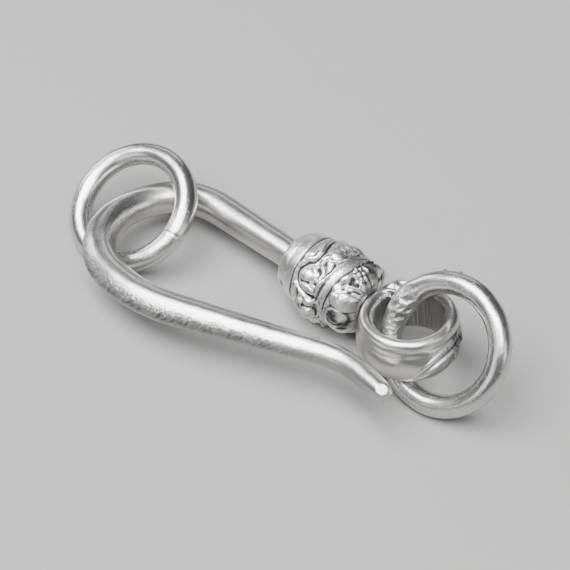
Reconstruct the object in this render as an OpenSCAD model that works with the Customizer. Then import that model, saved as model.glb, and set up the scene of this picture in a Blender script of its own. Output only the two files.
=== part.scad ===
// Hook and eye clasp: a forged wire hook with a cast bead and a rolled loop, and two jump rings.
// Millimetres. +X runs along the bead's axis towards the rolled loop, +Z is up, and the origin
// is on the surface that the clasp lies on, under the middle of its box.

/* [Placing] */
// Distance of the bead's middle from the clasp's middle, along X
bead_x = 2.25; // [1.5:0.01:3]
// Distance of the bead's middle from the clasp's middle, along Y
bead_y = 3.22; // [2.5:0.01:4]
// Rise of the bead's axis towards the loop, in degrees
hook_pitch = 2.8; // [2:0.1:3.5]
// Roll of the hook that lifts its front arm, in degrees
hook_roll = 5; // [4:0.1:6]

/* [Wire hook] */
// Diameter of the wire in the rear arm and through the bead
arm_d = 1.68; // [1.5:0.02:1.7]
// Diameter of the wire in the bend
bend_d = 1.92; // [1.8:0.02:2]
// Diameter of the wire where the tip starts to flare
flare_d = 1.42; // [1.3:0.02:1.6]
// Diameter of the wire's rounded tip
tip_d = 1.2; // [1:0.02:1.4]
// Distance from the bead's middle to the start of the bend
arm_length = 9; // [8.9:0.1:9.1]
// Length of the straight front arm
front_length = 8.4; // [8.2:0.1:8.8]
// Length of the straight tip before its rounded end
tip_length = 1.7; // [1:0.1:1.8]

/* [Rolled loop] */
// Distance from the bead's middle to the loop's axis
loop_x = 5.71; // [5.68:0.01:5.9]
// Distance of the loop's axis from the rear arm's line, towards the front arm
loop_offset = 0.17; // [0:0.01:0.3]
// Height of the loop's middle above the hook's plane
loop_lift = 0.14; // [0.05:0.01:0.2]
// Tilt of the loop towards the bead, in degrees
loop_pitch = 4; // [3:0.5:6]
// Tilt of the loop towards the front arm, in degrees
loop_roll = 4; // [3:0.5:5]
// Radius of the hole through the loop
loop_hole_r = 1.94; // [1.9:0.01:2]
// Widest radius of the loop's belly
loop_belly_r = 2.89; // [2.85:0.01:2.95]
// Height of the loop
loop_height = 2.94; // [2.8:0.02:3]

/* [Bead] */
// Distance from the bead's middle to its end on the arm's side, as a negative number
bead_arm_end = -3; // [-3.05:0.01:-2.9]
// Distance from the bead's middle to its end next to the loop
bead_loop_end = 2.7; // [2.6:0.01:2.7]
// Largest radius of the bead's plain body
bead_r = 2.2; // [2.1:0.01:2.25]
// Radius of the hole that is drilled through the bead
bead_hole_r = 0.9; // [0.88:0.01:1]
// Number of framed petals round the bead
petals = 7; // [5:1:8]
// Number of domes, curls and grains round the shoulder next to the loop
shoulder_grains = 12; // [8:4:12]

/* [Jump rings] */
// Diameter of the wire of both rings
ring_wire_d = 1.3; // [1.2:0.02:1.3]
// Outer diameter of both rings
ring_d = 8; // [7.9:0.02:8]

/* [Hidden] */
$fn = 64;

// Plain bead body: a barrel between two rounded ends.
collar_round_r = 0.9;
shoulder_round_r = 0.9;
collar_x = bead_arm_end + collar_round_r;
shoulder_x = bead_loop_end - shoulder_round_r;
collar_seat_r = 1.05;
shoulder_seat_r = 1.05;
barrel_arc_r = 7.6;
barrel_x = -0.15;

// Raised ornament. Distances run along the bead's axis from its middle, azimuths turn about the
// axis from straight down towards the back, and heights are above the plain body.
petal_x = -0.15;
petal_azimuth = 235;
petal_rim_r = 0.84;
petal_rim_w = 0.2;
petal_rim_h = 0.12;
petal_dome_r = 0.64;
petal_dome_h = 0.28;
leaf_x = -1.25;
leaf_r = 0.5;
leaf_h = 0.12;
leaf_turn = 15;
band_x = [0.82, 1.38];
band_w = 0.13;
band_h = 0.08;

// The petals are fuller on one side, and worn down across from it.
full_azimuth = 325;
fullness = 0.5;

// The shoulder's ornament comes in fours, each with these columns:
// radius, height, and depth of the dimple in its middle.
RADIUS = 0;
HEIGHT = 1;
DIMPLE = 2;
SHOULDER_PIECES = [
    [0.5, 0.22, 0],
    [0.5, 0.22, 0],
    [0.46, 0.2, 0.16],
    [0.34, 0.2, 0],
];
grain_x = 1.95;
grain_azimuth = 271;

// Number of flat faces round the bead, and the steps of its sections along it
bead_sides = 96;
round_step = 18;
barrel_step = 0.16;

stations = concat(
    [for (a = [0:round_step:89]) collar_x - collar_round_r * cos(a)],
    [for (x = [collar_x:barrel_step:shoulder_x]) x],
    [for (a = [round_step:round_step:90]) shoulder_x + shoulder_round_r * sin(a)]
);
azimuths = [for (k = [0:bead_sides - 1]) 360 * k / bead_sides];

// The ornament's lowest point lies just clear of the surface, which gives the height of the
// bead's axis.
bead_clearance = 0.01;
bead_z = bead_clearance + max([
    for (x = stations, a = azimuths)
        cos(hook_pitch) * bead_radius(x, a) * cos(a - hook_roll) - sin(hook_pitch) * x
]);

// The round core runs from inside the loop's wall to inside the forged wire, outside the bead.
core_end = loop_x - (loop_hole_r + loop_belly_r) / 2;
forged_x = -3.15;
core_overlap = 1;

// Stretches of the forged wire from the bead to the tip, each with these columns:
// turn to the left in degrees (0 is a straight), its radius or length, first and last diameter.
TURN = 0;
SIZE = 1;
FIRST_D = 2;
LAST_D = 3;
STRETCHES = [
    [0, arm_length + forged_x, arm_d + 0.08, bend_d],
    [57, 3.5, bend_d, bend_d],
    [64.5, 4.48, bend_d, bend_d],
    [46.5, 4.1, bend_d, bend_d],
    [34.5, 8.3, bend_d, bend_d - 0.1],
    [0, front_length, bend_d - 0.1, flare_d],
    [-31, 5.1, flare_d, flare_d - 0.08],
    [0, tip_length, flare_d - 0.08, tip_d],
];
wire_sides = 20;
degrees_per_ring = 6;
// Angles of the rings that round off the tip, measured from its last full section
tip_angles = [20, 45, 65, 80];

// Loop section: two rolled rims, with a bulging belly between them under a groove.
top_rim_r = 0.36;
low_rim_r = 0.27;
groove_r = 2.5;
groove_z = 0.8;
belly_z = -0.26;
belly_arc_r = 1.46;
seam_azimuth = -24;
seam_tilt = 52;
seam_arc_r = 1.85;
seam_wire_r = 0.14;
seam_half_angle = 44;

// Rings as they lie: centre from the bead's middle, tilt, and the way that the low side faces.
ring_wire_r = ring_wire_d / 2;
ring_r = ring_d / 2 - ring_wire_r;
eye_ring_at = [-12.4, -3.63];
eye_ring_tilt = 30.5;
eye_ring_faces = -94.6;
link_ring_at = [7.91, 0.21];
link_ring_tilt = 52.7;
link_ring_faces = -89.2;

module at_bead() {
    translate([bead_x, bead_y, 0]) children();
}

module in_hook_frame() {
    at_bead() translate([0, 0, bead_z]) rotate([-hook_roll, -hook_pitch, 0]) children();
}

function forward(p, distance) = [p.x + distance * cos(p.z), p.y + distance * sin(p.z), p.z];

// The place and heading, as [x, y, degrees], at a fraction of stretch s that starts at p.
function along(p, s, fraction) =
    s[TURN] == 0 ? forward(p, s[SIZE] * fraction)
    : let (
        radius = sign(s[TURN]) * s[SIZE],
        heading = p.z + s[TURN] * fraction,
        centre = forward([p.x, p.y, p.z + 90], radius),
        rim = forward([centre.x, centre.y, heading - 90], radius)
    ) [rim.x, rim.y, heading];

function start_of(i) = i == 0 ? [forged_x, 0, 180] : along(start_of(i - 1), STRETCHES[i - 1], 1);

function steps(s) = max(1, ceil(abs(s[TURN]) / degrees_per_ring));

function mix(first, last, fraction) = first + (last - first) * fraction;

// One section of the wire: its corners round the place and heading p.
function section(p, r) = [
    for (k = [0:wire_sides - 1])
        let (a = 360 * k / wire_sides)
            [p.x - r * cos(a) * sin(p.z), p.y + r * cos(a) * cos(p.z), r * sin(a)]
];

// The forged wire is swept through its stretches, and its tip is rounded off.
module forged_wire() {
    count = len(STRETCHES);
    tip = start_of(count);
    sections = concat(
        [
            for (i = [0:count - 1])
                let (s = STRETCHES[i], n = steps(s))
                    for (k = [0:n - 1])
                        section(along(start_of(i), s, k / n), mix(s[FIRST_D], s[LAST_D], k / n) / 2)
        ],
        [section(tip, tip_d / 2)],
        [for (a = tip_angles) section(forward(tip, tip_d / 2 * sin(a)), tip_d / 2 * cos(a))]
    );
    last = (len(sections) - 1) * wire_sides;
    polyhedron(
        points = [for (ring = sections) each ring],
        faces = concat(
            [[for (k = [0:wire_sides - 1]) k]],
            [
                for (base = [0:wire_sides:last - wire_sides])
                    for (k = [0:wire_sides - 1])
                        let (next = (k + 1) % wire_sides)
                            [base + k, base + wire_sides + k, base + wire_sides + next, base + next]
            ],
            [[for (k = [0:wire_sides - 1]) last + wire_sides - 1 - k]]
        )
    );
}

module core() {
    translate([forged_x - core_overlap, 0, 0]) rotate([0, 90, 0])
        cylinder(h = core_end - forged_x + core_overlap, d = arm_d);
}

// Half section of the loop's wall, with the loop's axis along the section's Y.
module loop_section() {
    half = loop_height / 2;
    top_rim_x = loop_hole_r + top_rim_r;
    low_rim_x = loop_hole_r + low_rim_r;
    translate([top_rim_x, half - top_rim_r]) circle(top_rim_r);
    translate([low_rim_x, low_rim_r - half]) circle(low_rim_r);
    translate([loop_hole_r, groove_z - top_rim_r])
        square([groove_r - loop_hole_r, half - groove_z]);
    intersection() {
        translate([loop_belly_r - belly_arc_r, belly_z]) circle(belly_arc_r);
        translate([loop_hole_r, low_rim_r - half])
            square([loop_belly_r - loop_hole_r, groove_z + half - low_rim_r]);
    }
}

// The slanting edge where the rolled strip's end lies on the belly.
module loop_seam() {
    rotate([0, 0, seam_azimuth]) translate([loop_belly_r - seam_arc_r, 0, belly_z])
        rotate([seam_tilt, 0, 0]) rotate([0, 0, -seam_half_angle])
            rotate_extrude(angle = 2 * seam_half_angle)
                translate([seam_arc_r, 0]) circle(seam_wire_r);
}

module loop() {
    translate([loop_x, -loop_offset, loop_lift]) rotate([loop_roll, -loop_pitch, 0]) {
        rotate_extrude() loop_section();
        loop_seam();
    }
}

module hook() {
    color("silver") in_hook_frame() {
        forged_wire();
        core();
        loop();
    }
}

function circle_y(r, x) = sqrt(max(0, r * r - x * x));

// Radius of the plain bead at a distance x along it.
function plain_radius(x) =
    x < collar_x ? collar_seat_r + circle_y(collar_round_r, x - collar_x)
    : x > shoulder_x ? shoulder_seat_r + circle_y(shoulder_round_r, x - shoulder_x)
    : bead_r - barrel_arc_r + circle_y(barrel_arc_r, x - barrel_x);

function bump(distance, half_width) = pow(max(0, 1 - pow(distance / half_width, 2)), 2);
function dome(distance, radius) = circle_y(1, distance / radius);

// Turns from the first of n places round the bead, and the arc from the nearest of them.
function turns(azimuth, first, n) = (azimuth - first) * n / 360;
function arc_gap(azimuth, first, n) =
    let (t = turns(azimuth, first, n)) (t - round(t)) * 2 * PI * bead_r / n;

// A petal is a round rim with a moat inside it and a dome in the middle.
function petal_height(x, azimuth) =
    let (d = norm([x - petal_x, arc_gap(azimuth, petal_azimuth, petals)]))
        petal_rim_h * bump(d - petal_rim_r, petal_rim_w)
        + petal_dome_h * (1 + fullness * cos(azimuth - full_azimuth)) * dome(d, petal_dome_r);

function leaf_height(x, azimuth) =
    let (d = norm([x - leaf_x, arc_gap(azimuth, petal_azimuth + leaf_turn, petals)]))
        leaf_h * dome(d, leaf_r);

function shoulder_height(x, azimuth) =
    let (
        t = turns(azimuth, grain_azimuth, -shoulder_grains),
        piece = SHOULDER_PIECES[(round(t) % 4 + 4) % 4],
        d = norm([x - grain_x, arc_gap(azimuth, grain_azimuth, shoulder_grains)])
    ) piece[HEIGHT] * dome(d, piece[RADIUS]) - piece[DIMPLE] * bump(d, piece[RADIUS] / 2);

function bead_radius(x, azimuth) =
    plain_radius(x) + petal_height(x, azimuth) + leaf_height(x, azimuth)
    + shoulder_height(x, azimuth)
    + band_h * (bump(x - band_x[0], band_w) + bump(x - band_x[1], band_w));

// The bead's ornamented skin as a solid of rings along Z, before it is drilled.
module bead_skin() {
    last = (len(stations) - 1) * bead_sides;
    polyhedron(
        points = [
            for (x = stations, a = azimuths)
                let (r = bead_radius(x, a)) [r * cos(a), r * sin(a), x]
        ],
        faces = concat(
            [[for (k = [0:bead_sides - 1]) k]],
            [
                for (base = [0:bead_sides:last - bead_sides], k = [0:bead_sides - 1])
                    let (next = (k + 1) % bead_sides)
                        [base + k, base + bead_sides + k, base + bead_sides + next, base + next]
            ],
            [[for (k = [0:bead_sides - 1]) last + bead_sides - 1 - k]]
        )
    );
}

module bead() {
    color("gainsboro") in_hook_frame() rotate([0, 90, 0]) difference() {
        bead_skin();
        translate([0, 0, 2 * bead_arm_end]) cylinder(h = 4 * bead_loop_end, r = bead_hole_r);
    }
}

// A jump ring that leans on the clasp and touches the surface with its low side.
module lying_ring(at, tilt, faces) {
    at_bead() translate([at.x, at.y, ring_r * sin(tilt) + ring_wire_r])
        rotate([0, 0, faces]) rotate([0, tilt, 0])
            rotate_extrude() translate([ring_r, 0]) circle(ring_wire_r);
}

module eye_ring() {
    color("silver") lying_ring(eye_ring_at, eye_ring_tilt, eye_ring_faces);
}

module link_ring() {
    color("silver") lying_ring(link_ring_at, link_ring_tilt, link_ring_faces);
}

hook();
bead();
eye_ring();
link_ring();
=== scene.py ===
import math

import bpy
import numpy as np
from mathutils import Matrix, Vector


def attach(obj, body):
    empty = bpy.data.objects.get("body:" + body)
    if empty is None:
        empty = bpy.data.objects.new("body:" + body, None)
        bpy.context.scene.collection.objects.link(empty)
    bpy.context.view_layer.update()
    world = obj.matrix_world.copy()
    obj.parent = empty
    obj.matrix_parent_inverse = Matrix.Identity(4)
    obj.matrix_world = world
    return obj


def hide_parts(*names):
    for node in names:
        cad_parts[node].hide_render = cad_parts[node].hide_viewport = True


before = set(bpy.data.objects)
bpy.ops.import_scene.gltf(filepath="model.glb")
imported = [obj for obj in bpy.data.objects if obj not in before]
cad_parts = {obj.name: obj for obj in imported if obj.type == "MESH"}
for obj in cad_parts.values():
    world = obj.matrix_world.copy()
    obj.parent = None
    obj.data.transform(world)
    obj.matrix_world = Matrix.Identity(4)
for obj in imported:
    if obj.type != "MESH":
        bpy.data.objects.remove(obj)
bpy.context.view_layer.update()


# The table top and the studio. The clasp lies on a plain pale surface, and is seen from its
# front right at 47 degrees above it, from 125 mm away. Soft boxes hang above it and stand all
# round it, because polished silver shows mainly what is there.
MM = 0.001
AIM = Vector((0.314, 1.305, 2.3)) * MM
LOOK = Vector((0.4738, -0.4906, 0.7314))
CAMERA_DISTANCE = 125 * MM
LENS_MM = 142.1
SENSOR_MM = 36
FLOOR_HALF = 0.9
FLOOR_GREY = (0.262, 0.259, 0.256, 1)
FLOOR_ROUGHNESS = 0.85
WORLD_GREY = (0.11, 0.112, 0.115, 1)

scene = bpy.context.scene
camera_data = bpy.data.cameras.new("camera")
camera_data.lens = LENS_MM
camera_data.sensor_width = SENSOR_MM
camera_data.clip_start = 0.01
camera = bpy.data.objects.new("camera", camera_data)
camera.location = AIM + LOOK * CAMERA_DISTANCE
camera.rotation_euler = LOOK.to_track_quat("Z", "Y").to_euler()
scene.collection.objects.link(camera)
scene.camera = camera

world = bpy.data.worlds.new("studio")
world.use_nodes = True
world.node_tree.nodes["Background"].inputs["Color"].default_value = WORLD_GREY
scene.world = world


def soft_box(name, direction, distance, size, watts):
    """A rectangular area light that stands off the clasp along a direction and faces it."""
    data = bpy.data.lights.new(name, "AREA")
    data.shape = "RECTANGLE"
    data.size, data.size_y = size
    data.energy = watts
    light = bpy.data.objects.new(name, data)
    away = Vector(direction).normalized()
    light.location = AIM + away * distance
    light.rotation_euler = away.to_track_quat("Z", "Y").to_euler()
    scene.collection.objects.link(light)


# Direction from the clasp, distance and size in metres, and watts.
SOFT_BOXES = {
    "key_box": ((-0.15, -0.32, 0.93), 0.30, (0.30, 0.22), 3.1),
    "camera_box": ((0.46, -0.24, 0.86), 0.34, (0.15, 0.13), 0.85),
    "front_box": ((-0.06, -0.93, 0.38), 0.34, (0.18, 0.08), 0.14),
    "right_box": ((1.0, 0.10, 0.42), 0.34, (0.10, 0.16), 0.14),
    "left_box": ((-0.92, -0.05, 0.36), 0.34, (0.12, 0.14), 0.30),
    "back_strip": ((-0.70, 0.80, 0.50), 0.34, (0.22, 0.06), 0.10),
}
for box, (direction, distance, size, watts) in SOFT_BOXES.items():
    soft_box(box, direction, distance, size, watts)

floor_mesh = bpy.data.meshes.new("table_top")
floor_mesh.from_pydata(
    [(x * FLOOR_HALF, y * FLOOR_HALF, 0) for x, y in ((-1, -1), (1, -1), (1, 1), (-1, 1))],
    [],
    [(0, 1, 2, 3)],
)
floor_top = bpy.data.objects.new("table_top", floor_mesh)
scene.collection.objects.link(floor_top)
floor_paint = bpy.data.materials.new("table_paint")
floor_paint.use_nodes = True
paint = floor_paint.node_tree.nodes["Principled BSDF"].inputs
paint["Base Color"].default_value = FLOOR_GREY
paint["Roughness"].default_value = FLOOR_ROUGHNESS
floor_mesh.materials.append(floor_paint)


# The forged hook. One silver wire is drawn down, hammered round and bent: a straight rear arm
# that carries the bead, a round bend, a front arm that tapers, and a tip that flares outward and
# is filed. A crease runs along the front arm's top, and slanting hammer strokes along its side.
BEAD_AT = (2.25, 3.22, 2.432)
HOOK_PITCH = math.radians(2.8)
HOOK_ROLL = math.radians(5)
WIRE_START = 3.2
ARM_D = 1.68
BEND_D = 1.92
FLARE_D = 1.42
TIP_D = 1.2
TURN, SIZE, FIRST_D, LAST_D = range(4)
STRETCHES = np.array([
    [0, 6.35, ARM_D, ARM_D],
    [0, 5.85, ARM_D + 0.04, BEND_D],
    [57, 3.5, BEND_D, BEND_D],
    [64.5, 4.48, BEND_D, BEND_D],
    [46.5, 4.1, BEND_D, BEND_D],
    [34.5, 8.3, BEND_D, BEND_D - 0.1],
    [0, 8.4, BEND_D - 0.1, FLARE_D],
    [-31, 5.1, FLARE_D, FLARE_D - 0.08],
    [0, 1.7, FLARE_D - 0.08, TIP_D],
])
WIRE_STEP = 0.06
WIRE_SIDES = 96
PATH_BLUR = 0.7
TIP_ANGLES = np.radians(np.arange(6, 88, 5))
FILED_WAY = np.array([0.471, -0.369, 0.802])
FILED_AT = 0.85
NOISE_SPAN = 40
UV_RADIUS = 0.9
# The dark tone of tarnish, which painted shade and painted dark reflections also darken towards.
TARNISH_AND_SHADE_TONE = (0.062, 0.062, 0.063, 1)

# Where each treatment starts and ends along the wire, in mm, and how soft its ends are.
FORGED_AT = (7.6, 99, 0.5)
BEND_AT = (10, 24, 1.2)
CREASE_AT = (20.5, 37, 0.9)
HAMMER_AT = (20, 36.5, 1.2)
SIDE_REFLECTION_AT = (15, 40, 1.5)
SATIN_AT = (39.2, 41.6, 0.18)

# Heights in mm, and places and half widths round the wire in radians, from its left side.
FORGED_DOWN = 0.006
FLATS, FLATS_AT, FLAT_H, BEND_FLAT_LESS = 4, 0.5, 0.012, 0.009
PLANISH_H, INNER_LESS, INNER_ANGLE, INNER_HALF = 0.005, 0.004, 0.4, 1.4
CREASE_DEPTH, CREASE_ANGLE, CREASE_HALF = 0.045, math.radians(66), 0.11
CREASE_WANDER, CREASE_SHADE_HALF = 0.06, 0.09
CREASE_RIM_H, CREASE_RIM_GAP, CREASE_RIM_HALF = 0.018, 0.2, 0.16
HAMMER_H, HAMMER_ANGLE, HAMMER_HALF = 0.006, math.radians(172), 0.8
STROKE_SLANT = math.radians(50)
SIDE_REFLECTION_GAP, SIDE_REFLECTION_HALF = 0.15, 0.75

# How dark each place is painted: painted shade in the crease and on the satin flare, a painted dark
# reflection along the side, and tarnish with a painted dark reflection in the hammer strokes; and how
# rough hammering and the satin rub leave it.
CREASE_SHADE, SATIN_SHADE, SIDE_REFLECTION_DARK = 0.6, 0.2, 0.42
STROKE_DARK, STROKE_DARK_LESS, STROKE_DARK_MOST = 0.25, 0.22, 0.5
HAMMER_ROUGH, SATIN_ROUGH = 0.95, 0.15


def turning(axis, angle):
    """The matrix that turns points about X, Y or Z, numbered 0 to 2, by the right hand."""
    i, j = (axis + 1) % 3, (axis + 2) % 3
    matrix = np.eye(3)
    matrix[i, i] = matrix[j, j] = math.cos(angle)
    matrix[j, i] = math.sin(angle)
    matrix[i, j] = -matrix[j, i]
    return matrix


def in_row(points):
    """Hook frame to the shared frame: roll about X, pitch about Y, then to the bead's middle."""
    return points @ (turning(1, -HOOK_PITCH) @ turning(0, -HOOK_ROLL)).T + BEAD_AT


def hash_waves(seed, terms, *fields):
    """Smooth made-up noise from -1 to 1: a mean of sines of random directions over the fields,
    which are in turns, so a field that closes on itself is given whole-number weights."""
    rng = np.random.default_rng(seed)
    total = 0
    for _ in range(terms):
        phase = rng.uniform(0, 2 * math.pi)
        for field, reach in fields:
            phase = phase + 2 * math.pi * field * rng.integers(-reach, reach + 1)
        total = total + np.sin(phase)
    return total / math.sqrt(terms)


def bump(distance, half_width):
    """A smooth hill of height 1 over a distance: the square of 1 less the squared ratio."""
    return np.clip(1 - (distance / half_width) ** 2, 0, None) ** 2


def angle_gap(angle, centre):
    """The signed angle from a centre, between minus and plus half a turn."""
    return (angle - centre + math.pi) % (2 * math.pi) - math.pi


def skin(name, points, uv, close_rows=False, caps=False, **fields):
    """A mesh from a grid of points that closes on itself along its columns, with quads between
    its rows, a UV map in millimetres, and point attributes. A cap is a fan on the end row. The
    faces are turned outward where the volume they enclose comes out negative."""
    rows, cols = points.shape[:2]
    index = np.arange(rows * cols).reshape(rows, cols)
    nxt = np.roll(index, -1, axis=1)
    last = rows if close_rows else rows - 1
    a, b = index[:last], nxt[:last]
    d, c = np.roll(index, -1, axis=0)[:last], np.roll(nxt, -1, axis=0)[:last]
    quads = np.stack([a, d, c, b], -1).reshape(-1, 4)
    verts = points.reshape(-1, 3)
    corner_uv = uv_corners(uv)
    faces = [quads.ravel()]
    sizes = [np.full(len(quads), 4)]
    if caps:
        verts = np.vstack([verts, points[0].mean(0), points[-1].mean(0)])
        first_fan = np.stack([index[0], nxt[0], np.full(cols, rows * cols)], -1)
        last_fan = np.stack([nxt[-1], index[-1], np.full(cols, rows * cols + 1)], -1)
        faces += [first_fan.ravel(), last_fan.ravel()]
        sizes += [np.full(2 * cols, 3)]
        corner_uv = np.vstack([corner_uv, np.zeros((6 * cols, 2))])
        fields = {
            key: np.append(values.ravel(), [values[0].mean(), values[-1].mean()])
            for key, values in fields.items()
        }
    loops = np.concatenate(faces).astype(np.int32)
    counts = np.concatenate(sizes).astype(np.int32)
    mesh = bpy.data.meshes.new(name)
    mesh.vertices.add(len(verts))
    mesh.vertices.foreach_set("co", (verts * MM).astype(np.float32).ravel())
    mesh.loops.add(len(loops))
    mesh.loops.foreach_set("vertex_index", loops)
    mesh.polygons.add(len(counts))
    starts = np.concatenate([[0], np.cumsum(counts)[:-1]])
    mesh.polygons.foreach_set("loop_start", starts.astype(np.int32))
    mesh.polygons.foreach_set("use_smooth", np.ones(len(counts), bool))
    mesh.uv_layers.new(name="UVMap").data.foreach_set("uv", corner_uv.astype(np.float32).ravel())
    for key, values in fields.items():
        attribute = mesh.attributes.new(key, "FLOAT", "POINT")
        attribute.data.foreach_set("value", np.ravel(values).astype(np.float32))
    mesh.update(calc_edges=True)
    mesh.validate()
    p0, p1, p2, p3 = (verts[quads[:, k]] for k in range(4))
    if (p0 * (np.cross(p1, p2) + np.cross(p2, p3))).sum() < 0:
        mesh.flip_normals()
    piece = bpy.data.objects.new(name, mesh)
    scene.collection.objects.link(piece)
    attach(piece, "root")
    return piece


def uv_grid(rows_mm, columns_mm):
    """A UV map in mm from the places of a grid's rows and of its columns."""
    return np.stack(np.meshgrid(rows_mm, columns_mm, indexing="ij"), -1)


def uv_corners(uv):
    """Each quad's four corners on a (rows, cols, 2) UV grid that has one more row or column
    than the points where they close, so that no face runs back across the map."""
    a, b, c, d = uv[:-1, :-1], uv[:-1, 1:], uv[1:, 1:], uv[1:, :-1]
    return np.stack([a, d, c, b], 2).reshape(-1, 2)


class Link:
    """A shader socket on which +, - and * add a Math node."""

    def __init__(self, nodes, socket):
        self.nodes = nodes
        self.socket = socket

    def math(self, operation, first, second):
        return self.nodes.node("ShaderNodeMath", {"operation": operation}, {0: first, 1: second})

    def __add__(self, other):
        return self.math("ADD", self, other)

    def __radd__(self, other):
        return self.math("ADD", other, self)

    def __sub__(self, other):
        return self.math("SUBTRACT", self, other)

    def __rsub__(self, other):
        return self.math("SUBTRACT", other, self)

    def __mul__(self, other):
        return self.math("MULTIPLY", self, other)

    def __rmul__(self, other):
        return self.math("MULTIPLY", other, self)


class Finish:
    """One material. node() adds any node: its type, its settings, then its sockets."""

    def __init__(self, name):
        self.material = bpy.data.materials.new(name)
        self.material.use_nodes = True
        self.tree = self.material.node_tree
        self.tree.nodes.clear()

    def node(self, kind, settings=None, sockets=None, out=0):
        made = self.tree.nodes.new(kind)
        for key, value in (settings or {}).items():
            if key == "stops":
                for stop, (place, shade) in zip(made.color_ramp.elements, value):
                    stop.position, stop.color = place, (shade, shade, shade, 1)
            else:
                setattr(made, key, value)
        for key, value in (sockets or {}).items():
            if isinstance(value, Link):
                self.tree.links.new(value.socket, made.inputs[key])
            else:
                made.inputs[key].default_value = value
        return Link(self, made.outputs[out]) if len(made.outputs) else None

    def noise(self, vector, scale, detail, roughness):
        sockets = {"Vector": vector, "Scale": scale, "Detail": detail, "Roughness": roughness}
        return self.node("ShaderNodeTexNoise", {}, sockets)

    def ramp(self, factor, low, high):
        return self.node("ShaderNodeValToRGB", {"stops": [(low, 0), (high, 1)]}, {"Fac": factor})

    def blend(self, factor, first, second):
        sockets = {0: factor, 6: first, 7: second}
        return self.node("ShaderNodeMix", {"data_type": "RGBA"}, sockets, out=2)

    def close(self, **shader):
        sockets = {name.replace("_", " "): value for name, value in shader.items()}
        surface = self.node("ShaderNodeBsdfPrincipled", {}, sockets)
        self.node("ShaderNodeOutputMaterial", {}, {"Surface": surface})
        return self.material


# Each noise has a scale, a detail and a roughness. The scale is per metre, but for the streaks it
# is per mm of the UV map, which is stretched along the brush lines and squeezed across them.
STREAK_STRETCH, STREAK_NOISE = (0.22, 3.2, 1.0), (3.2, 4, 0.6)
CLOUD_NOISE, CLOUD_STEPS = (420, 3, 0.5), (0.35, 0.7)
GRAIN_NOISE = (5200, 2, 0.6)
WORKED_NOISE = (3400, 3, 0.6)
PIT_NOISE, PIT_STEPS, PIT_TONE = (2600, 2, 0.45), (0.62, 0.72), 0.35
CLOUD_GLOSS, STREAK_GLOSS, PIT_GLOSS, TARNISH_AND_SHADE_GLOSS, ROUGH_GLOSS = 0.10, 0.09, 0.10, 0.25, 0.10
BUMP_HEIGHT = 0.02 * MM


def silver(name, light_tone, dark_tone, base_roughness, grain, scratch, pits, worked):
    """Silver metal. Fine brush lines follow the UV map's first axis, clouds, grain and pits are
    noise on Object coordinates, and roughness wanders with them. The first attribute darkens the
    colour towards the dark tone: tarnish, and also painted shade and painted dark reflections.
    "rough" is where the surface is as cast, hammered or soldered."""
    f = Finish(name)
    place = f.node("ShaderNodeTexCoord", out=3)
    along = f.node("ShaderNodeUVMap", {"uv_map": "UVMap"})
    hollow = f.node("ShaderNodeAttribute", {"attribute_name": "hollow"}, out=2)
    rough = f.node("ShaderNodeAttribute", {"attribute_name": "rough"}, out=2)
    streak_map = f.node("ShaderNodeMapping", {}, {"Vector": along, "Scale": STREAK_STRETCH})
    streaks = f.noise(streak_map, *STREAK_NOISE)
    cloud = f.noise(place, *CLOUD_NOISE)
    fine = f.noise(place, *GRAIN_NOISE)
    coarse = f.noise(place, *WORKED_NOISE)
    pit = f.ramp(f.noise(place, *PIT_NOISE), *PIT_STEPS)
    tone = f.blend(f.ramp(cloud, *CLOUD_STEPS), dark_tone, light_tone)
    tone = f.blend(PIT_TONE * pit * rough, tone, TARNISH_AND_SHADE_TONE)
    # Tarnish, and painted shade and painted dark reflections, darken the colour here.
    tone = f.blend(hollow, tone, TARNISH_AND_SHADE_TONE)
    gloss = base_roughness + CLOUD_GLOSS * (cloud - 0.5) + STREAK_GLOSS * (streaks - 0.5)
    gloss = gloss + PIT_GLOSS * pit + TARNISH_AND_SHADE_GLOSS * hollow + ROUGH_GLOSS * rough
    height = grain * fine + scratch * streaks - pits * pit + worked * (rough * coarse)
    normal = f.node("ShaderNodeBump", {}, {"Strength": 1.0, "Distance": BUMP_HEIGHT, "Height": height})
    return f.close(Base_Color=tone, Metallic=1.0, Roughness=gloss, Normal=normal)


def wire_path():
    """Length, heading, place and radius of stations along the wire. The heading turns evenly
    through each stretch, so it is a line over the length, and it is blurred where stretches meet.
    The place is the sum of its cosine and sine, and the radius a line from diameter to diameter."""
    turn = np.radians(STRETCHES[:, TURN])
    length = np.where(turn == 0, STRETCHES[:, SIZE], np.abs(turn) * STRETCHES[:, SIZE])
    ends = np.concatenate([[0], np.cumsum(length)])
    s = np.arange(0, ends[-1], WIRE_STEP)
    heading = np.interp(s, ends, math.pi + np.concatenate([[0], np.cumsum(turn)]))
    reach = int(PATH_BLUR / WIRE_STEP)
    padded = np.pad(heading, reach, mode="edge")
    heading = np.convolve(padded, np.full(2 * reach + 1, 1 / (2 * reach + 1)), mode="valid")
    x = WIRE_START + np.concatenate([[0], np.cumsum(np.cos(heading[:-1]))]) * WIRE_STEP
    y = np.concatenate([[0], np.cumsum(np.sin(heading[:-1]))]) * WIRE_STEP
    knots = np.repeat(ends, 2)[1:-1] + np.tile([0, -1e-6], len(STRETCHES))
    diameters = STRETCHES[:, [FIRST_D, LAST_D]].ravel()
    return s, heading, x, y, np.interp(s, knots, diameters) / 2


s, heading, x, y, radius = wire_path()
tip_r = radius[-1]
tip_run = tip_r * np.sin(TIP_ANGLES)
x = np.append(x, x[-1] + tip_run * math.cos(heading[-1]))
y = np.append(y, y[-1] + tip_run * math.sin(heading[-1]))
s = np.concatenate([s, s[-1] + tip_run])
heading = np.append(heading, np.full(len(tip_run), heading[-1]))
radius = np.append(radius, tip_r * np.cos(TIP_ANGLES))

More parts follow.
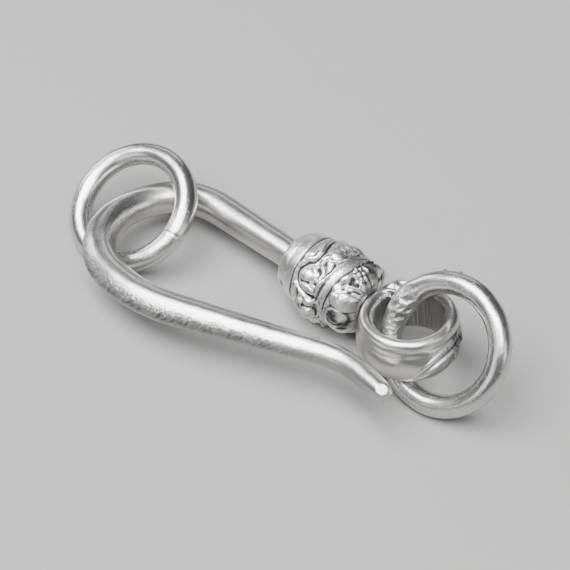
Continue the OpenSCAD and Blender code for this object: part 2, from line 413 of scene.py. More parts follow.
turn_a = np.linspace(0, 2 * math.pi, WIRE_SIDES, endpoint=False)
S, A = np.meshgrid(s, turn_a, indexing="ij")
run, turns = S / NOISE_SPAN, A / (2 * math.pi)


def from_to(value, start, end, soft):
    """A mask that rises from 0 to 1 at a start and falls back at an end, each over a soft width."""
    return 1 / (1 + np.exp(-(value - start) / soft)) / (1 + np.exp((value - end) / soft))


flat_h = FLAT_H - BEND_FLAT_LESS * from_to(S, *BEND_AT)
flats = flat_h * np.cos(FLATS * (A - FLATS_AT)) * hash_waves(3, 5, (run, 4))
planish_h = PLANISH_H - INNER_LESS * bump(angle_gap(A, INNER_ANGLE), INNER_HALF)
planish = planish_h * hash_waves(11, 14, (run, 34), (turns, 4))
crease_on = from_to(S, *CREASE_AT)
crease_gap = angle_gap(A, CREASE_ANGLE + CREASE_WANDER * hash_waves(4, 4, (run, 5)))
crease = -CREASE_DEPTH * bump(crease_gap, CREASE_HALF)
crease_rim = CREASE_RIM_H * bump(angle_gap(crease_gap, -CREASE_RIM_GAP), CREASE_RIM_HALF)
hammer_on = from_to(S, *HAMMER_AT) * bump(angle_gap(A, HAMMER_ANGLE), HAMMER_HALF)
side_mm = A * BEND_D / 2
across_stroke = S * math.sin(STROKE_SLANT) + side_mm * math.cos(STROKE_SLANT)
along_stroke = S * math.cos(STROKE_SLANT) - side_mm * math.sin(STROKE_SLANT)
strokes = hash_waves(17, 44, (across_stroke / NOISE_SPAN, 250), (along_stroke / NOISE_SPAN, 60))
tip_fade = np.clip(radius / tip_r, 0, 1)[:, None]
relief = flats + planish + crease_on * (crease + crease_rim) + HAMMER_H * hammer_on * strokes
R = radius[:, None] + from_to(S, *FORGED_AT) * (relief * tip_fade - FORGED_DOWN)
wire_points = np.stack([
    x[:, None] - R * np.cos(A) * np.sin(heading)[:, None],
    y[:, None] + R * np.cos(A) * np.cos(heading)[:, None],
    R * np.sin(A),
], -1)

# The tip's end is filed flat towards the camera's side.
tip_start = -len(TIP_ANGLES)
tip_at = wire_points[tip_start - 1].mean(0)
past_flat = (wire_points - tip_at) @ FILED_WAY - FILED_AT * tip_r
past_flat = np.clip(past_flat, 0, None) * (S > s[tip_start] - 0.5)
wire_points = wire_points - past_flat[..., None] * FILED_WAY

wire_uv = uv_grid(s, UV_RADIUS * np.linspace(0, 2 * math.pi, WIRE_SIDES + 1))
satin = from_to(S, *SATIN_AT)
# Painted shade along the crease.
crease_shade = CREASE_SHADE * crease_on * bump(crease_gap, CREASE_SHADE_HALF)
# Darker in the hammer strokes' dips: tarnish, with a painted dark reflection laid over it.
stroke_dark = np.clip(STROKE_DARK - STROKE_DARK_LESS * strokes, 0, STROKE_DARK_MOST)
# A painted dark reflection along the front arm's side, under its highlight.
side_gap = angle_gap(A, HAMMER_ANGLE + SIDE_REFLECTION_GAP)
side_painted_reflection = SIDE_REFLECTION_DARK * from_to(S, *SIDE_REFLECTION_AT) * bump(side_gap, SIDE_REFLECTION_HALF)
# The satin flare is painted darker too, as painted shade for its dimmer highlight.
wire_darkening = crease_shade + SATIN_SHADE * satin + hammer_on * stroke_dark + side_painted_reflection
wire_hollow = np.clip(wire_darkening, 0, 1)
wire_rough = HAMMER_ROUGH * hammer_on + SATIN_ROUGH * satin
hook_wire = skin(
    "hook_wire", in_row(wire_points), wire_uv, caps=True, hollow=wire_hollow, rough=wire_rough
)
forged_silver = silver(
    "forged_silver", light_tone=(0.60, 0.595, 0.585, 1), dark_tone=(0.47, 0.465, 0.46, 1),
    base_roughness=0.29, grain=0.35, scratch=0.38, pits=0.15, worked=8,
)
hook_wire.data.materials.append(forged_silver)
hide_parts("hook")


# The rolled loop. The wire's tail is hammered to a strip and rolled into a wide loop, with a
# rolled top rim, a groove under it, a bulging belly and a small low rim. The strip's end lies on
# the belly as a slanting edge, and solder joins the roll to the wire next to the bead.
LOOP_AT = (5.71, -0.17, 0.14)
LOOP_PITCH = math.radians(4)
LOOP_ROLL = math.radians(4)
HOLE_R = 1.94
BELLY_R = 2.89
LOOP_HALF = 1.47
TOP_RIM_R = 0.36
LOW_RIM_R = 0.27
GROOVE_R = 2.5
GROOVE_Z = 0.8
BELLY_Z = -0.26
BELLY_ARC_R = 1.46
SECTION_ROWS, LOOP_COLS = 150, 420
LOOP_NOISE_SPAN = 3
SMOOTH_WALL_AZIMUTH, SMOOTH_WALL_HALF = math.radians(205), 1.0
SOLDER_AZIMUTH, SOLDER_HALF, SOLDER_H = math.radians(146), 0.5, 0.20
WIDE_RIM_AZIMUTH, WIDE_RIM_HALF, WIDE_RIM_H = math.radians(35), 1.0, 0.10
WAVE_H, WALL_LINE_H, UV_TURN, UV_PROFILE = 0.010, 0.012, 15, 12
FILL_H, SMOOTH_FILL_H, FILL_HALF, GROOVE_SHADE_HALF = 0.09, 0.05, 0.42, 0.24

# Regions of the section: where each starts in radius or height, and over what width it comes in.
OUTSIDE_R, UNDER_RIM_Z, HOLE_WALL_R = (2.35, 0.3), (0.85, -0.2), (2.1, -0.1)
RIM_Z, RIM_R, SOLDER_Z = (0.75, 0.25), (2.1, 0.25), (0.7, 0.3)

# The strip's slanting end climbs the belly from a height. Its places round the loop are degrees
# that count on past 360. Beside it lie ridges and lines of painted shadow, each with a strength, a
# place above the edge and a half width. Fine lines run under it, and beyond it the belly is painted
# darker, in streaks, as a painted dark reflection.
COUNT_FROM = 270
SEAM_START, SEAM_REACH = 314, 17
SEAM_LOW, SEAM_RISE = -1.25, 1.35
SEAM_ON = (SEAM_START + 5, 392, 3)
SEAM_RIDGES = ((0.12, 0.07, 0.13), (0.06, 0.46, 0.13))
SEAM_SHADOWS = ((0.95, -0.07, 0.12), (0.7, 0.26, 0.10))
LAP_H, LAP_EDGE, LAP_FADE = 0.09, 0.05, 0.8
UNDER_H, UNDER_SPACING, UNDER_EDGE = 0.014, 0.17, -0.1
STREAKS_ON = (352, 425, 8)

# How dark each place is made: painted shadows beside the seam, painted shade in the groove and on
# the hole's wall, a painted dark reflection over the belly beyond the seam, and darker dips in the
# solder; and how rough it is.
BELLY_REFLECTION_BASE, BELLY_REFLECTION_STREAKS, GROOVE_SHADE, WALL_SHADE = 0.25, 0.6, 0.2, 0.18
SOLDER_DIP_DARK, SOLDER_DIP_FROM = 0.7, 0.75
SOLDER_ROUGH, WALL_ROUGH, STREAKS_ROUGH = 0.6, 0.15, 0.3


def rise(value, start, width):
    """0 up to a start, then a straight line to 1 over a width. A negative width goes the other
    way: 0 above the start, and 1 that far below it."""
    return np.clip((value - start) / width, 0, 1)


def ridges_at(place, ridges):
    """The sum of bumps, each of a strength, a place and a half width."""
    return sum(strength * bump(place - at, half) for strength, at, half in ridges)


def arc(centre_x, centre_z, r, first, last, count):
    """Points on an arc between two angles, in degrees from straight out."""
    a = np.radians(np.linspace(first, last, count))
    return np.stack([centre_x + r * np.cos(a), centre_z + r * np.sin(a)], -1)


def loop_profile():
    """The closed section of the loop's wall as (radius, height): up the hole's wall, over the
    top rim, into the groove, round the belly and under the low rim, evenly spaced and blurred."""
    top_x, low_x = HOLE_R + TOP_RIM_R, HOLE_R + LOW_RIM_R
    top_z, low_z = LOOP_HALF - TOP_RIM_R, LOW_RIM_R - LOOP_HALF
    belly_x = BELLY_R - BELLY_ARC_R
    belly_low = math.degrees(math.asin((low_z - BELLY_Z) / BELLY_ARC_R))
    belly_high = math.degrees(math.asin((GROOVE_Z - BELLY_Z) / BELLY_ARC_R))
    corner = np.vstack([
        arc(top_x, top_z, TOP_RIM_R, 180, -35, 40),
        [[GROOVE_R - 0.02, GROOVE_Z + 0.02]],
        arc(belly_x, BELLY_Z, BELLY_ARC_R, belly_high, belly_low, 50),
        arc(low_x, low_z, LOW_RIM_R, -10, -180, 24),
    ])
    corner = np.vstack([corner, corner[:1]])
    length = np.concatenate([[0], np.cumsum(np.hypot(*np.diff(corner, axis=0).T))])
    even = np.linspace(0, length[-1], SECTION_ROWS, endpoint=False)
    section = np.stack([np.interp(even, length, corner[:, k]) for k in (0, 1)], -1)
    kernel = np.array([1, 2, 3, 4, 3, 2, 1]) / 16
    wrapped = np.pad(section, ((3, 3), (0, 0)), mode="wrap")
    return np.stack([np.convolve(wrapped[:, k], kernel, mode="valid") for k in (0, 1)], -1)


section = loop_profile()
azimuth = np.linspace(0, 2 * math.pi, LOOP_COLS, endpoint=False)
PR, AZ = np.meshgrid(section[:, 0], azimuth, indexing="ij")
PZ = np.repeat(section[:, 1:], LOOP_COLS, axis=1)
edge = np.roll(section, -1, axis=0) - np.roll(section, 1, axis=0)
out = edge[:, [1, 0]] * (-1, 1) / np.hypot(*edge.T)[:, None]
OUT_R, OUT_Z = out[:, :1], out[:, 1:]
around = AZ / (2 * math.pi)
noise_r, noise_z = PR / LOOP_NOISE_SPAN, PZ / LOOP_NOISE_SPAN
outer = rise(PR, *OUTSIDE_R) * rise(PZ, *UNDER_RIM_Z)
inner = rise(PR, *HOLE_WALL_R)
turned = (np.degrees(AZ) - COUNT_FROM) % 360 + COUNT_FROM
climb = np.clip(turned - SEAM_START, 0, None)
seam_gap = PZ - SEAM_LOW - SEAM_RISE * (1 - np.exp(-climb / SEAM_REACH))
seam_on = outer * from_to(turned, *SEAM_ON)
lap = LAP_H * rise(seam_gap, 0, LAP_EDGE) * np.exp(-np.clip(seam_gap, 0, None) / LAP_FADE)
under_lines = np.cos(2 * math.pi * seam_gap / UNDER_SPACING)
under_lines = UNDER_H * under_lines * rise(seam_gap, 0, UNDER_EDGE)
seam = seam_on * (ridges_at(seam_gap, SEAM_RIDGES) + lap + under_lines)
waves = WAVE_H * hash_waves(21, 12, (around, 12), (noise_z, 3))
wall_lines = WALL_LINE_H * inner * hash_waves(5, 10, (around, 90))
smooth_wall = bump(angle_gap(AZ, SMOOTH_WALL_AZIMUTH), SMOOTH_WALL_HALF)
groove_gap = np.hypot(PR - GROOVE_R, PZ - GROOVE_Z)
fill = (FILL_H + SMOOTH_FILL_H * smooth_wall) * bump(groove_gap, FILL_HALF)
wide_rim = bump(angle_gap(AZ, WIDE_RIM_AZIMUTH), WIDE_RIM_HALF)
wide_rim = WIDE_RIM_H * wide_rim * rise(PZ, *RIM_Z) * rise(PR, *RIM_R)
solder_on = bump(angle_gap(AZ, SOLDER_AZIMUTH), SOLDER_HALF) * rise(PZ, *SOLDER_Z)
facets = np.abs(hash_waves(8, 5, (around, 17), (noise_z, 5), (noise_r, 5)))
solder = SOLDER_H * solder_on * np.clip(1 - facets, 0, 1)
lift = seam + waves + wall_lines + fill + wide_rim + solder
LR, LZ = PR + OUT_R * lift, PZ + OUT_Z * lift
loop_local = np.stack([LR * np.cos(AZ), LR * np.sin(AZ), LZ], -1)
loop_tilt = turning(1, -LOOP_PITCH) @ turning(0, LOOP_ROLL)
loop_points = in_row(loop_local @ loop_tilt.T + LOOP_AT)

streak_on = outer * from_to(turned, *STREAKS_ON)
streaks = np.clip(hash_waves(41, 14, (around, 60), (noise_z, 4)), 0, 1)
# Beyond the seam the belly is painted darker in streaks, as a painted dark reflection.
belly_painted_reflection = streak_on * (BELLY_REFLECTION_BASE + BELLY_REFLECTION_STREAKS * streaks)
# Painted shadows on both sides of the strip's edge.
seam_shadows = seam_on * ridges_at(seam_gap, SEAM_SHADOWS)
# Painted shade in the groove under the top rim, less where the wall is smooth.
groove_shade = GROOVE_SHADE * (1 - smooth_wall) * bump(groove_gap, GROOVE_SHADE_HALF)
# Darker in the dips between the solder's lumps.
solder_dips_dark = SOLDER_DIP_DARK * solder_on * np.clip(facets - SOLDER_DIP_FROM, 0, 1)
# The hole's wall is painted darker, as painted shade.
loop_darkening = seam_shadows + belly_painted_reflection + groove_shade + solder_dips_dark + WALL_SHADE * inner
loop_hollow = np.clip(loop_darkening, 0, 1)
loop_rough = SOLDER_ROUGH * solder_on + WALL_ROUGH * inner + STREAKS_ROUGH * streak_on
loop_rough = np.clip(loop_rough, 0, 1)
section_mm = np.linspace(0, UV_PROFILE, len(section) + 1)
loop_uv = uv_grid(section_mm, np.linspace(0, UV_TURN, LOOP_COLS + 1))[..., ::-1]
rolled_loop = skin(
    "rolled_loop", loop_points, loop_uv, close_rows=True, hollow=loop_hollow, rough=loop_rough
)
rolled_loop.data.materials.append(forged_silver)
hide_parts("hook")


# The bead. Cast silver, drilled through and threaded on the rear arm: a plain collar with shallow
# dents, a belt of leaves and framed scrolls, two fine ridges with a plain band between, and a
# shoulder of domes, curls and grains. Its hollows and cut lines are painted darker as painted shade,
# and its high places are polished.
ARM_END, LOOP_END = -3.0, 2.7
ROUND_R, SEAT_R = 0.9, 1.05
BARREL_R, BARREL_ARC_R, BARREL_X = 2.2, 7.6, -0.15
BORE_R = 0.9
END_ROWS, BARREL_ROWS, BORE_ROWS, BEAD_COLS = 30, 152, 12, 420
UV_LENGTH, UV_ROUND = 10, 14
BEAD_NOISE_SPAN = 6
CELL_X, CELL_AZIMUTH, CELL_KINDS = -0.15, math.radians(235), "ABABABB"
PILLOW_R, PILLOW_H = 0.82, 0.17
FULL_AZIMUTH, FULLNESS = math.radians(325), 0.5
SHOULDER_AZIMUTH, SHOULDER_KINDS = math.radians(271), "OSCGOSCGOSCS"

# Where each treatment starts and ends along the bead, and how soft its ends are, all in mm.
COLLAR_AT = (-2.9, -1.6, 0.08)
BELT_AT = (-1.45, 0.9, 0.04)
WORKED_AT = (-1.45, 2.5, 0.06)

# The plain band leans, and is worn away on one side. Each ridge and cut has a height, a place
# along the bead and a half width.
BAND_START, BAND_END, BAND_SOFT = 0.72, 1.20, 0.02
BAND_SKEW, BAND_AZIMUTH = 0.34, math.radians(214.8)
WORN_AZIMUTH, WORN_HALF, WORN_BY = math.radians(288), 0.75, 0.85
BAND_RIDGES = ((0.11, BAND_START, 0.10), (0.08, BAND_END, 0.07))
BAND_CUTS = ((-0.08, BAND_END + 0.13, 0.09),)
NECK_CUTS = ((-0.11, -1.42, 0.11),)
CUT_DARK = -0.12

# Heights of the dents in the collar and of the casting's grain. Painted shade darkens a place that
# lies under the mean of its neighbours: from the first depth on, and fully so the second further down.
DENT_H, MOTTLE_H = 0.035, 0.007
SHADE_REACH_X, SHADE_REACH_A = 6, 5
SHADE_SUNK = (0.004, 0.032)
# How dark painted shade makes the cut lines, and how rough the worked and the sunk places are.
CUT_SHADE, WORKED_ROUGH, SUNK_ROUGH = 0.8, 0.12, 0.5

# Raised lobes of each ornament, with these columns: place along the bead and round it from the
# ornament's middle, half length, half width, turn in degrees, and height. All but the turn in mm.
LOBES = {
    "A": [
        (-0.48, 0.16, 0.50, 0.40, 20, 0.19), (-0.22, -0.40, 0.37, 0.18, 4, 0.15),
        (0.33, 0.16, 0.21, 0.15, -8, 0.14), (0.28, -0.52, 0.24, 0.13, -30, 0.09),
        (0.62, -0.62, 0.13, 0.12, 0, 0.17), (-1.06, 1.24, 0.27, 0.46, -8, 0.13),
    ],
    "B": [
        (0.20, 0.06, 0.47, 0.42, 25, 0.22), (-0.47, 0.62, 0.34, 0.25, 10, 0.14),
        (0.14, 0.74, 0.30, 0.22, -10, 0.14), (-0.96, 0.26, 0.23, 0.64, 14, 0.13),
        (0.58, 0.98, 0.20, 0.16, 0, 0.11),
    ],
    "O": [(1.90, -0.06, 0.62, 0.66, 0, 0.22)],
    "S": [(2.06, 0.06, 0.76, 0.60, 0, 0.25), (1.46, 0.64, 0.34, 0.26, 35, 0.14)],
    "C": [(1.62, 0.26, 0.44, 0.17, 68, 0.20), (2.48, 0.58, 0.20, 0.20, 0, 0.16)],
    "G": [
        (1.63, -0.05, 0.14, 0.14, 0, 0.15), (1.96, -0.18, 0.14, 0.14, 0, 0.17),
        (2.26, -0.34, 0.14, 0.14, 0, 0.18), (1.88, -0.46, 0.13, 0.13, 0, 0.16),
        (1.74, 0.20, 0.12, 0.12, 0, 0.13), (2.06, 0.12, 0.12, 0.12, 0, 0.14),
        (2.32, 0.00, 0.11, 0.11, 0, 0.14), (1.86, 0.44, 0.11, 0.11, 0, 0.10),
        (2.16, 0.38, 0.10, 0.10, 0, 0.11), (2.50, 0.60, 0.28, 0.28, 0, 0.24),
    ],
}

# Cut and raised lines of each ornament: height in mm, negative where it is cut, half width in mm,
# and the points that the line is drawn through, along the bead and round it from the middle.
LINES = {
    "A": [
        (-0.15, 0.12, [(-0.80, 3.00), (-0.53, 2.11), (-0.38, 1.70), (-0.38, 1.30), (-0.50, 0.94),
                       (-0.80, 0.73), (-1.08, 0.20), (-1.05, -0.12), (-0.92, -0.43), (-0.68, -0.68),
                       (-0.26, -0.82), (0.12, -0.88), (0.56, -0.84)]),
        (0.10, 0.16, [(-1.02, 2.96), (-0.76, 2.15), (-0.61, 1.60), (-0.64, 1.22), (-0.84, 0.98),
                      (-1.12, 0.72), (-1.28, 0.24), (-1.26, -0.20), (-1.14, -0.55), (-0.86, -0.90),
                      (-0.34, -1.05), (0.20, -1.12), (0.62, -1.08)]),
        (0.16, 0.19, [(0.06, 1.56), (-0.06, 1.30), (0.02, 1.03), (0.30, 0.86), (0.46, 0.60),
                      (0.50, 0.23), (0.53, -0.07), (0.60, -0.32)]),
        (-0.16, 0.12, [(-0.02, 0.70), (0.14, 0.64), (0.28, 0.54)]),
        (-0.15, 0.13, [(0.66, 0.92), (0.66, 1.18), (0.58, 1.42)]),
        (-0.15, 0.08, [(0.28, -0.08), (0.38, -0.06), (0.42, -0.14)]),
        (-0.10, 0.05, [(-0.86, -0.22), (-0.50, -0.20), (-0.05, -0.18)]),
        (0.07, 0.05, [(0.00, -0.56), (0.36, -0.72), (0.56, -0.42)]),
        (-0.10, 0.10, [(-1.32, 0.90), (-1.34, 0.55)]),
        (-0.10, 0.12, [(-1.38, -0.95), (-1.38, -1.15)]),
    ],
    "B": [
        (0.11, 0.07, [(0.58, 1.50), (0.80, 0.76), (0.80, 0.27), (0.66, -0.17), (0.50, -0.40),
                      (0.26, -0.52)]),
        (-0.12, 0.09, [(-0.20, 1.06), (0.20, 1.16), (0.52, 1.22)]),
        (-0.08, 0.05, [(-0.24, 0.34), (-0.06, 0.46), (0.24, 0.50)]),
    ],
    "O": [
        (0.09, 0.12, [(2.20, 0.54), (1.76, 0.56), (1.40, 0.26), (1.32, -0.16), (1.44, -0.56),
                      (1.80, -0.78), (2.20, -0.70)]),
    ],
    "S": [(-0.07, 0.05, [(1.62, 0.30), (1.98, 0.62), (2.30, 0.70)])],
    "C": [
        (-0.20, 0.20, [(1.90, 0.44), (1.98, 0.18), (2.24, 0.30)]),
        (0.12, 0.08, [(2.02, -0.34), (1.92, -0.10), (2.16, 0.06), (2.42, 0.18), (2.60, 0.16)]),
        (-0.13, 0.07, [(2.14, -0.42), (2.34, -0.14), (2.56, 0.00)]),
    ],
    "G": [(-0.13, 0.26, [(1.56, 0.62), (1.90, 0.72), (2.14, 0.74)])],
}

# Where each ornament has gone dark, with the same columns as the lobes but a strength at the end.
# The oval of "O" is dark all over, and of the others only the low places are.
PATINA_EDGE, PATINA_WANDER = 2.2, 0.2
PATINA_SUNK, PATINA_DEPTH, PATINA_LEAST = -0.035, 0.03, 0.15
PATINA = {
    "B": [(0.40, 1.20, 0.50, 0.34, 0, 0.7)],
    "O": [(1.80, 0.02, 0.46, 0.68, 0, 1.0), (2.34, -0.58, 0.36, 0.46, 0, 0.9)],
    "G": [(1.85, 0.40, 0.66, 0.60, 0, 0.85)],
}


def dome_height(d):
    """Height of a round dome of radius and height 1."""
    return np.sqrt(np.clip(1 - d * d, 0, None))


def plain_radius(x):
    """The bead without ornament: a barrel arc between two round ends on narrower seats."""
    low, high = ARM_END + ROUND_R, LOOP_END - ROUND_R
    barrel = BARREL_R - BARREL_ARC_R + np.sqrt(BARREL_ARC_R ** 2 - (x - BARREL_X) ** 2)
    collar = SEAT_R + np.sqrt(np.clip(ROUND_R ** 2 - (x - low) ** 2, 0, None))
    shoulder = SEAT_R + np.sqrt(np.clip(ROUND_R ** 2 - (x - high) ** 2, 0, None))
    return np.where(x < low, collar, np.where(x > high, shoulder, barrel))


def oval_distance(x, w, at_x, at_w, half_x, half_w, turn):
    """The distance from an oval that is turned in the surface, in units of its halves."""
    c, s = math.cos(math.radians(turn)), math.sin(math.radians(turn))
    dx, dw = x - at_x, (w - at_w) * plain_radius(x) / BARREL_R
    return np.hypot((dx * c + dw * s) / half_x, (dw * c - dx * s) / half_w)


def line_bump(x, w, height, half_width, points):
    """A ridge or a cut along a line: the bump of the distance to its nearest straight stretch."""
    nearest = np.full(x.shape, 9.0)
    for (x0, w0), (x1, w1) in zip(points, points[1:]):
        dx, dw = x1 - x0, w1 - w0
        t = np.clip(((x - x0) * dx + (w - w0) * dw) / (dx * dx + dw * dw), 0, 1)
        narrow = plain_radius(x) / BARREL_R
        nearest = np.minimum(nearest, np.hypot(x - x0 - t * dx, (w - w0 - t * dw) * narrow))
    return height * bump(nearest, half_width)


def soften(field, reach_x, reach_a):
    """A running mean over the neighbours along the bead and round it."""
    rows = np.pad(field, ((reach_x, reach_x), (0, 0)), mode="edge")
    rows = sum(rows[k:k + len(field)] for k in range(2 * reach_x + 1)) / (2 * reach_x + 1)
    return sum(np.roll(rows, k, axis=1) for k in range(-reach_a, reach_a + 1)) / (2 * reach_a + 1)


def ornament(x, azimuth, kind, centre):
    """One ornament over the whole bead: its lobes, of which the highest shows, its lines, and
    its dark places."""
    w = -angle_gap(azimuth, centre) * BARREL_R
    domes = [h * dome_height(oval_distance(x, w, *oval)) for *oval, h in LOBES[kind]]
    lines = [line_bump(x, w, *line) for line in LINES[kind]]
    darks = [
        strength * np.clip(PATINA_EDGE * (1 - oval_distance(x, w, *oval)), 0, 1)
        for *oval, strength in PATINA.get(kind, [])
    ]
    return np.max(domes, axis=0), sum(lines), sum(darks)


low, high = ARM_END + ROUND_R, LOOP_END - ROUND_R
end_a = np.linspace(0, math.pi / 2, END_ROWS)
stations = np.concatenate([
    low - ROUND_R * np.cos(end_a[:-1]),
    np.linspace(low, high, BARREL_ROWS),
    high + ROUND_R * np.sin(end_a[1:]),
])
azimuths = np.linspace(0, 2 * math.pi, BEAD_COLS, endpoint=False)
BX, BA = np.meshgrid(stations, azimuths, indexing="ij")
bead_turns = BA / (2 * math.pi)
noise_x = BX / BEAD_NOISE_SPAN
cells = [
    (kind, CELL_AZIMUTH + 2 * math.pi * i / len(CELL_KINDS)) for i, kind in enumerate(CELL_KINDS)
]
shoulder = [
    (kind, SHOULDER_AZIMUTH - 2 * math.pi * i / len(SHOULDER_KINDS))
    for i, kind in enumerate(SHOULDER_KINDS)
]
lobes, lines, pillow, patina, low_patina = (np.zeros(BX.shape) for _ in range(5))
for kind, centre in cells + shoulder:
    its_lobes, its_lines, its_dark = ornament(BX, BA, kind, centre)
    lobes = np.maximum(lobes, its_lobes)
    lines = lines + its_lines
    if kind == "O":
        patina = patina + its_dark
    else:
        low_patina = low_patina + its_dark
for kind, centre in cells:
    cell_d = np.hypot(BX - CELL_X, angle_gap(BA, centre) * BARREL_R) / PILLOW_R
    pillow = np.maximum(pillow, PILLOW_H * dome_height(cell_d))

band_x = BX + BAND_SKEW * np.sin(BA - BAND_AZIMUTH)
band_on = 1 - WORN_BY * bump(angle_gap(BA, WORN_AZIMUTH), WORN_HALF)
plain_band = band_on * from_to(band_x, BAND_START, BAND_END, BAND_SOFT)
ridges = band_on * ridges_at(band_x, BAND_RIDGES)
neck = ridges_at(BX, NECK_CUTS) + band_on * ridges_at(band_x, BAND_CUTS)
belt = from_to(BX, *BELT_AT)
worked = from_to(BX, *WORKED_AT)
mottle = MOTTLE_H * worked * hash_waves(71, 24, (noise_x, 24), (bead_turns, 54))
dents = DENT_H * from_to(BX, *COLLAR_AT) * hash_waves(77, 9, (noise_x, 8), (bead_turns, 11))
fuller = 1 + FULLNESS * np.cos(BA - FULL_AZIMUTH) * belt
raised = fuller * (belt * pillow + lobes) + lines
relief = soften((1 - plain_band) * raised, 1, 1) + ridges + neck + mottle + dents
bead_r = plain_radius(BX) + relief
bead_points = np.stack([BX, bead_r * np.sin(BA), -bead_r * np.cos(BA)], -1)
bore_x, bore_a = np.meshgrid(np.linspace(LOOP_END, ARM_END, BORE_ROWS), azimuths, indexing="ij")
bore_points = np.stack([bore_x, BORE_R * np.sin(bore_a), -BORE_R * np.cos(bore_a)], -1)
bead_points = in_row(np.concatenate([bead_points, bore_points]))

# The bead is worn flat where it lies on the surface.
bead_points[..., 2] = np.maximum(bead_points[..., 2], 0)

# Painted shade: a place that lies under its neighbours' mean is painted darker, and so is each cut
# line.
sunk = soften(relief, SHADE_REACH_X, SHADE_REACH_A) - relief
dark_in_dips = rise(sunk, *SHADE_SUNK)
patina = patina * (1 + PATINA_WANDER * hash_waves(73, 16, (noise_x, 16), (bead_turns, 40)))
patina = patina + low_patina * np.clip((sunk - PATINA_SUNK) / PATINA_DEPTH, PATINA_LEAST, 1)
cuts = (1 - plain_band) * rise(lines, 0, CUT_DARK) + rise(neck, 0, CUT_DARK)
# The bore is painted dark all through, as painted shade inside it, and is rough.
in_bore = np.ones(bore_x.shape)
bead_hollow = np.concatenate([np.clip(dark_in_dips + CUT_SHADE * cuts + patina, 0, 1), in_bore])
bead_rough = np.concatenate([WORKED_ROUGH * worked + SUNK_ROUGH * dark_in_dips, in_bore])
bead_length = np.linspace(0, UV_LENGTH, len(bead_points) + 1)
bead_uv = uv_grid(bead_length, np.linspace(0, UV_ROUND, BEAD_COLS + 1))
bead_skin = skin(
    "bead_cast", bead_points, bead_uv, close_rows=True, hollow=bead_hollow, rough=bead_rough
)
cast_silver = silver(
    "cast_silver", light_tone=(0.93, 0.925, 0.91, 1), dark_tone=(0.66, 0.655, 0.65, 1),
    base_roughness=0.34, grain=0.25, scratch=0.1, pits=0.3, worked=3.5,
)
bead_skin.data.materials.append(cast_silver)
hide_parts("bead")


# The two jump rings. Each is one turn of drawn silver wire whose ends are butted and soldered.
# The eye ring is caught on the bend, and the link ring passes through the rolled loop.
WIRE_R = 0.65
RING_R = 3.35
RING_COLS, WIRE_COLS = 480, 64
UV_RING, UV_WIRE = 21, 4
JOINT_HALF, JOINT_SWELL = 0.42, 0.012
SEAM_DEPTH, SEAM_HALF, SEAM_SLANT = 0.022, 0.022, 0.02
PITTED_AT = (0.3, 1.1, 0.05)
DRAWN_DOWN, WANDER_H = 0.010, 0.006
BURR_H, BURR_HALF, BURR_RING_R, BURR_WIRE_R = 0.08, 0.13, 3.4, 0.6

# How dark the joint is made, from which depth or facet on, and how rough the joint is.
SEAM_DIRT_DEPTH, SEAM_DARK, SEAM_ROUGH = 0.01, 0.4, 0.3
FACET_DARK, FACET_DARK_FROM, FACET_DARK_MOST = 1.3, 0.65, 0.6
PITTED_DARK, PITTED_ROUGH = 0.15, 0.9


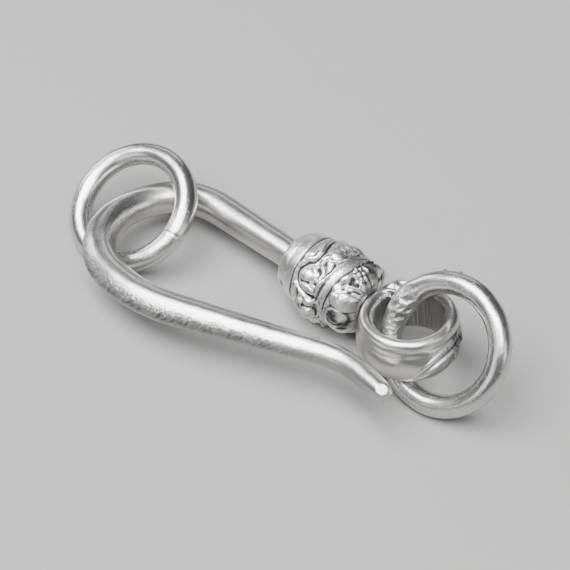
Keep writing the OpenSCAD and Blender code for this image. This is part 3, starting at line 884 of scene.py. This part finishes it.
def jump_ring(name, node, at, tilt, faces, joint, solder, burrs, seed):
    """A torus whose wire radius wanders a little. At the joint's angle it has a fine seam where
    solder is 0, or else angular lumps of solder that high and a pitted stretch beside them. Burrs
    are small bumps, each at an angle in degrees round the ring and one round its wire."""
    t = np.linspace(0, 2 * math.pi, RING_COLS, endpoint=False)
    a = np.linspace(0, 2 * math.pi, WIRE_COLS, endpoint=False)
    T, W = np.meshgrid(t, a, indexing="ij")
    turns_t, turns_w = T / (2 * math.pi), W / (2 * math.pi)
    near = bump(angle_gap(T, joint), JOINT_HALF)
    if solder:
        facets = np.abs(hash_waves(seed, 9, (turns_t, 36), (turns_w, 7)))
        pitted = from_to(angle_gap(T, joint), *PITTED_AT)
        butt = solder * near * np.clip(1 - facets, -0.2, 1)
        # Darker in the dips between the solder's facets.
        dark_in_dips = near * np.clip(facets - FACET_DARK_FROM, 0, FACET_DARK_MOST)
        hollow = FACET_DARK * dark_in_dips + PITTED_DARK * pitted
        rough = near + PITTED_ROUGH * pitted
    else:
        seam = bump(angle_gap(T, joint + SEAM_SLANT * np.cos(W)), SEAM_HALF)
        butt = JOINT_SWELL * near - SEAM_DEPTH * seam
        hollow = SEAM_DARK * (butt < -SEAM_DIRT_DEPTH)
        rough = SEAM_ROUGH * near
    nicks = 0
    for burr_t, burr_w in np.radians(burrs):
        ring_mm, wire_mm = BURR_RING_R * angle_gap(T, burr_t), BURR_WIRE_R * angle_gap(W, burr_w)
        nicks = nicks + BURR_H * bump(np.hypot(ring_mm, wire_mm), BURR_HALF)
    wander = WANDER_H * hash_waves(seed + 1, 10, (turns_t, 14), (turns_w, 2))
    r = WIRE_R - DRAWN_DOWN + butt + wander + nicks
    ring = np.stack([
        (RING_R + r * np.cos(W)) * np.cos(T),
        (RING_R + r * np.cos(W)) * np.sin(T),
        r * np.sin(W),
    ], -1)
    centre = (BEAD_AT[0] + at[0], BEAD_AT[1] + at[1], RING_R * math.sin(tilt) + WIRE_R)
    points = ring @ (turning(2, faces) @ turning(1, tilt)).T + centre
    uv = uv_grid(np.linspace(0, UV_RING, RING_COLS + 1), np.linspace(0, UV_WIRE, WIRE_COLS + 1))
    piece = skin(name, points, uv, close_rows=True, hollow=hollow, rough=rough)
    piece.data.materials.append(ring_silver)
    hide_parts(node)


ring_silver = silver(
    "ring_silver", light_tone=(0.64, 0.635, 0.625, 1), dark_tone=(0.52, 0.515, 0.51, 1),
    base_roughness=0.27, grain=0.2, scratch=0.35, pits=0.1, worked=5,
)
jump_ring(
    "eye_jump_ring", "eye_ring", (-12.4, -3.63), math.radians(30.5), math.radians(-94.6),
    joint=math.radians(94), solder=0, burrs=[(146, -12)], seed=31,
)
jump_ring(
    "link_jump_ring", "link_ring", (7.91, 0.21), math.radians(52.7), math.radians(-89.2),
    joint=math.radians(256), solder=0.115, burrs=[(119, -33), (196, -8), (209, 0)], seed=47,
)
